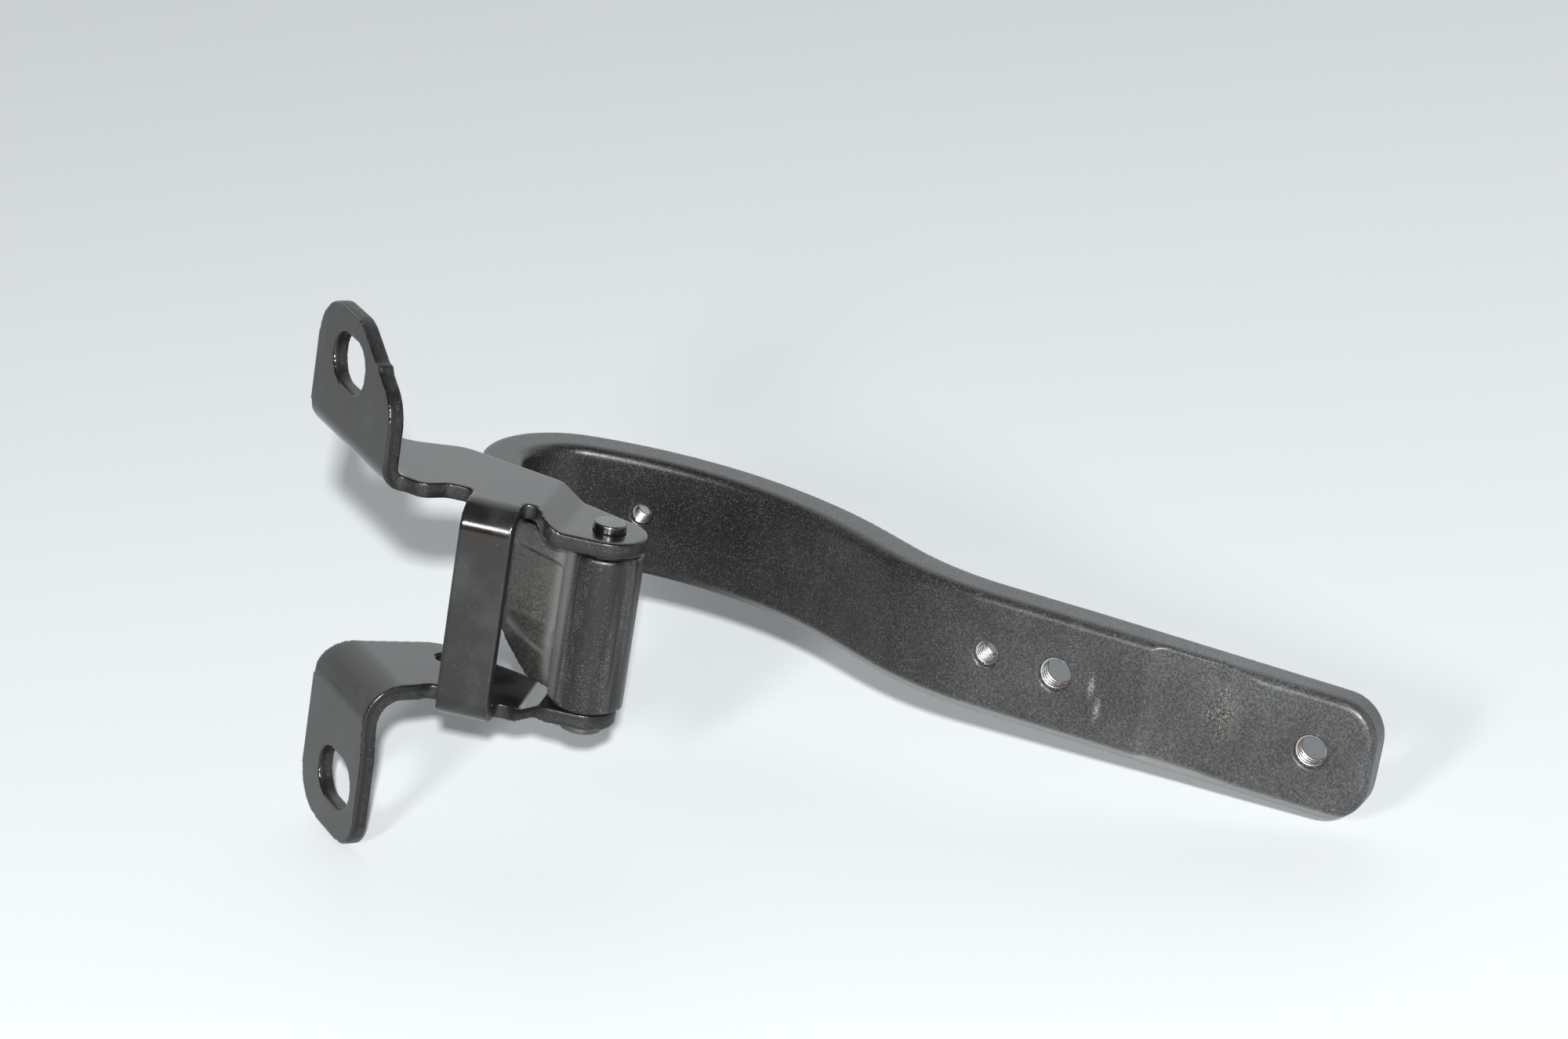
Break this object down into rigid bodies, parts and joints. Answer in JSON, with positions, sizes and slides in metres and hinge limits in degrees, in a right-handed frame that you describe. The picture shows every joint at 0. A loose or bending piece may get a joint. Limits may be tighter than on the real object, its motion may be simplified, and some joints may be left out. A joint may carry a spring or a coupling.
{
  "type": "boot lid hinge",
  "caption": "Car boot lid hinge: a folded sheet bracket with slotted ears carries a forged gooseneck arm, with tapped holes for the lid, that swings on a rivet pin.",
  "frame": {"origin": "in the plane of the two ear faces that seat on the car body, midway between their slots", "axes": "+X away from the car body, square to the ear faces; +Z along the hinge pin, from its flat head to its stub; +Y along the slots"},
  "size_m": [0.2061, 0.1955, 0.1294],
  "materials": {
    "bracket_steel": "satin dark coating on sheet steel",
    "arm_steel": "dark, slightly rough coating on forged steel",
    "pin_steel": "dark turned steel",
    "bush_steel": "dull dark"
  },
  "bodies": {
    "bracket": {"body_bracket": "bracket_steel", "pivot_pin": "pin_steel"},
    "arm": {"lid_arm": "arm_steel", "upper_bush": "bush_steel", "lower_bush": "bush_steel"}
  },
  "joints": [
    {"name": "lid_swing", "type": "hinge", "parent": "bracket", "child": "arm", "pos_m": [0.0475, -0.048, 0.0042], "axis": [0, 0, 1], "range_deg": [-68, 36]}
  ]
}
